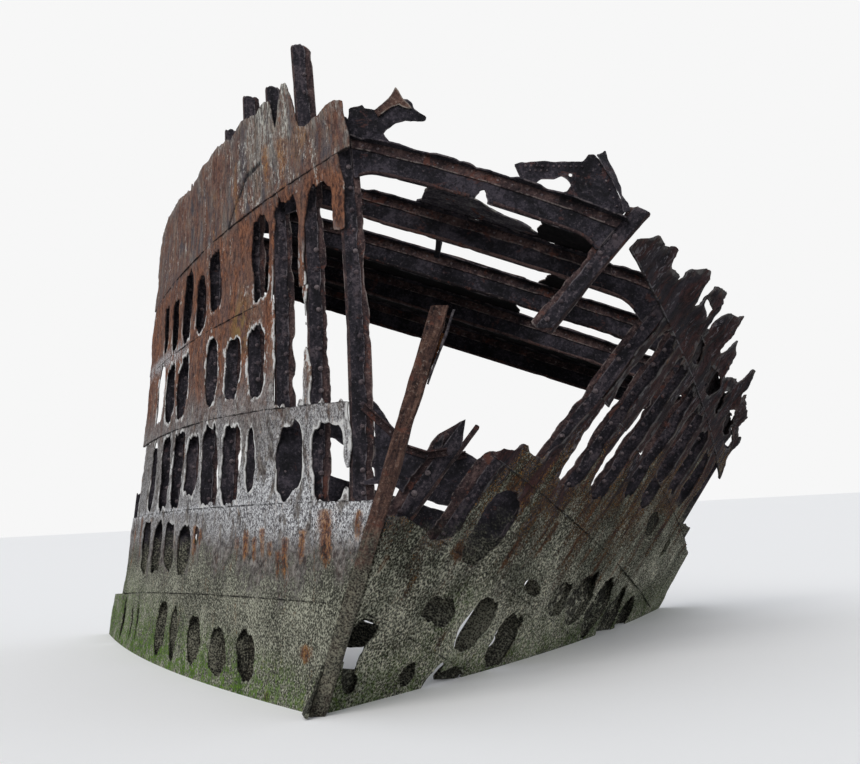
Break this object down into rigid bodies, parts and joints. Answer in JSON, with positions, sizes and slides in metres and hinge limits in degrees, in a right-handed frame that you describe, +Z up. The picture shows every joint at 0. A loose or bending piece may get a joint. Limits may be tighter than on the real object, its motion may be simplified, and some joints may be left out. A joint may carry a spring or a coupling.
{
  "type": "riveted ship bow wreck",
  "caption": "Rusted bow section of an abandoned riveted ship, heeled over, with plating holed between its frames and bare deck beams.",
  "frame": {"origin": "bottom centre of the bounding box, at the ground", "axes": "+Z up, the bow points to -Y, the ship leans to +X, its port side"},
  "size_m": [8.3394, 8.603, 5.6414],
  "materials": {
    "stem_rust": "rusted and pitted",
    "upper_plating": "flaking rust with salt",
    "lower_plating": "barnacled rust",
    "frame_rust": "dark rust",
    "beam_rust": "dark rust",
    "remnant_rust": "dark rust"
  },
  "bodies": {
    "root": {"beam_1": "beam_rust", "beam_2": "beam_rust", "beam_3": "beam_rust", "beam_4": "beam_rust", "beam_5": "beam_rust", "bow_floor_plate": "remnant_rust", "deck_plate_remnant": "remnant_rust", "deck_plating_1": "remnant_rust", "deck_plating_2": "remnant_rust", "deck_plating_3": "remnant_rust", "deck_plating_4": "remnant_rust", "deck_plating_5": "remnant_rust", "deep_floor_03": "remnant_rust", "fork_remnant": "remnant_rust", "port_frame_01_high": "frame_rust", "port_frame_01_stump": "frame_rust", "port_frame_02_stump": "frame_rust", "port_frame_03": "frame_rust", "port_frame_04": "frame_rust", "port_frame_05": "frame_rust", "port_frame_06": "frame_rust", "port_frame_07": "frame_rust", "port_frame_08": "frame_rust", "port_frame_09": "frame_rust", "port_frame_10": "frame_rust", "port_frame_11": "frame_rust", "port_frame_12": "frame_rust", "port_strake_1": "upper_plating", "port_strake_2": "upper_plating", "port_strake_3": "upper_plating", "port_strake_4": "lower_plating", "port_strake_5": "lower_plating", "port_strake_6": "lower_plating", "stb_frame_01": "frame_rust", "stb_frame_02": "frame_rust", "stb_frame_03": "frame_rust", "stb_frame_04": "frame_rust", "stb_frame_05": "frame_rust", "stb_frame_06": "frame_rust", "stb_frame_07": "frame_rust", "stb_frame_08": "frame_rust", "stb_frame_09": "frame_rust", "stb_frame_10_high": "frame_rust", "stb_frame_10_low": "frame_rust", "stb_frame_11_high": "frame_rust", "stb_frame_11_low": "frame_rust", "stb_frame_12": "frame_rust", "stb_strake_1": "upper_plating", "stb_strake_2": "upper_plating", "stb_strake_3": "upper_plating", "stb_strake_4": "lower_plating", "stb_strake_5": "lower_plating", "stb_strake_6": "lower_plating", "stem_bar": "stem_rust", "stem_leaf": "stem_rust"}
  },
  "joints": []
}
